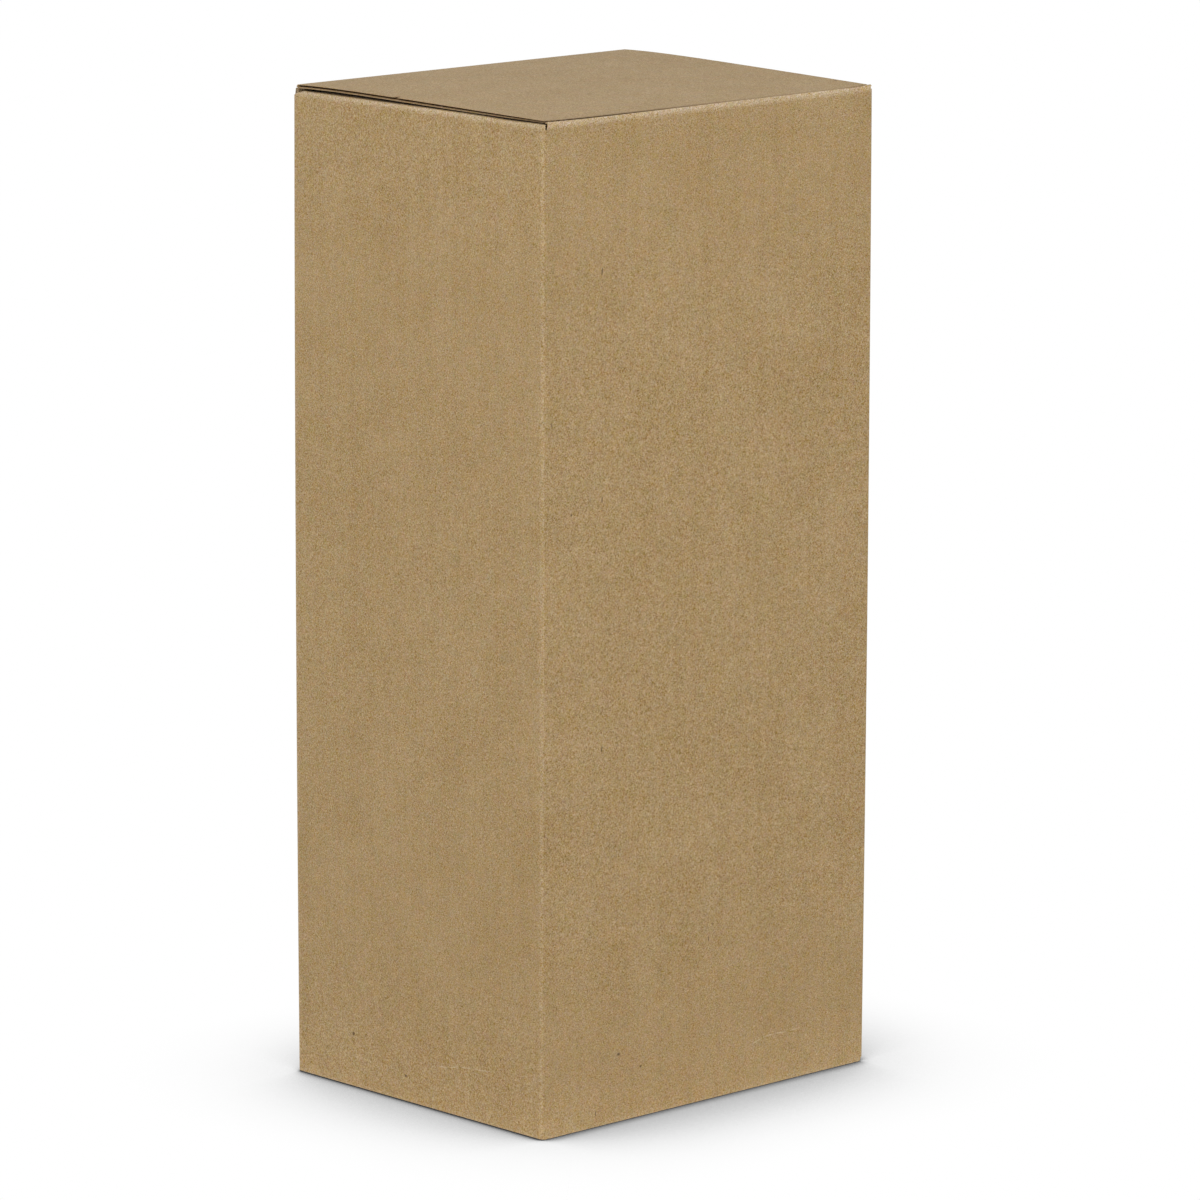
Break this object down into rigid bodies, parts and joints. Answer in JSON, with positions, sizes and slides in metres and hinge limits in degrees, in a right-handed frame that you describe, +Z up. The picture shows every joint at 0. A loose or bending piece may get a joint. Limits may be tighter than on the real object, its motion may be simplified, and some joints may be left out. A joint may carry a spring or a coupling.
{
  "type": "closed cardboard box",
  "caption": "Tall plain kraft carton of micro-flute board with a hinged tuck lid, dust flaps, a glued side joint and a snap-lock bottom.",
  "frame": {"origin": "centre of the base, at floor level", "axes": "+Z up; +X along the wide walls; the lid is hinged on the wide wall at -Y and tucks in behind the wide wall at +Y"},
  "size_m": [0.188, 0.152, 0.42],
  "materials": {
    "kraft_board": "matt"
  },
  "bodies": {
    "carton": {"box_body": "kraft_board"},
    "lid": {"lid": "kraft_board"}
  },
  "joints": [
    {"name": "lid_hinge", "type": "hinge", "parent": "carton", "child": "lid", "pos_m": [0, -0.07525, 0.41805], "axis": [1, 0, 0], "range_deg": [0, 170]}
  ]
}
